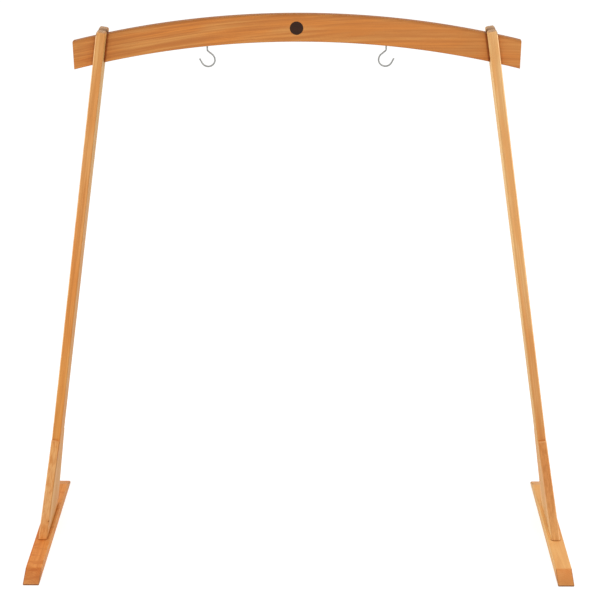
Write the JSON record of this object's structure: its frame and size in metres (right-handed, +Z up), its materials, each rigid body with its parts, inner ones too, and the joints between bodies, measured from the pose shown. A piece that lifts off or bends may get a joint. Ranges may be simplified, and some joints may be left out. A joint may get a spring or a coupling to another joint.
{
  "type": "gong stand",
  "caption": "Free-standing wooden gong stand: an arched crossbar with screw hooks drops into the slotted tops of two leaning legs, each bolted to a flat foot.",
  "frame": {"origin": "on the floor, midway between the feet and midway along them", "axes": "+X along the crossbar, +Y from the front with the inlay to the back, +Z up"},
  "size_m": [1.869, 0.688, 1.8685],
  "materials": {
    "crossbar_wood": "oiled beech, reddish brown, lengthwise grain, satin",
    "leg_wood": "oiled beech, golden brown, lengthwise grain, satin",
    "foot_wood": "oiled beech, golden brown, lengthwise grain, satin",
    "inlay_wood": "dark brown hardwood, satin",
    "zinc_steel": "bright zinc-plated steel",
    "brass": "plain turned brass"
  },
  "bodies": {
    "side_frames": {"left_leg_pole": "leg_wood", "left_leg_front_wedge": "leg_wood", "left_leg_rear_wedge": "leg_wood", "left_foot": "foot_wood", "left_foot_bolt_front": "zinc_steel", "left_foot_washer_front": "zinc_steel", "left_leg_insert_front": "brass", "left_foot_bolt_rear": "zinc_steel", "left_foot_washer_rear": "zinc_steel", "left_leg_insert_rear": "brass", "right_leg_pole": "leg_wood", "right_leg_front_wedge": "leg_wood", "right_leg_rear_wedge": "leg_wood", "right_foot": "foot_wood", "right_foot_bolt_front": "zinc_steel", "right_foot_washer_front": "zinc_steel", "right_leg_insert_front": "brass", "right_foot_bolt_rear": "zinc_steel", "right_foot_washer_rear": "zinc_steel", "right_leg_insert_rear": "brass"},
    "crossbar_unit": {"crossbar": "crossbar_wood", "crossbar_inlay": "inlay_wood", "hook_left": "zinc_steel", "hook_right": "zinc_steel"}
  },
  "joints": [
    {"name": "crossbar_lift", "type": "slide", "parent": "side_frames", "child": "crossbar_unit", "axis": [0, 0, 1], "range_m": [0, 0.12]}
  ]
}
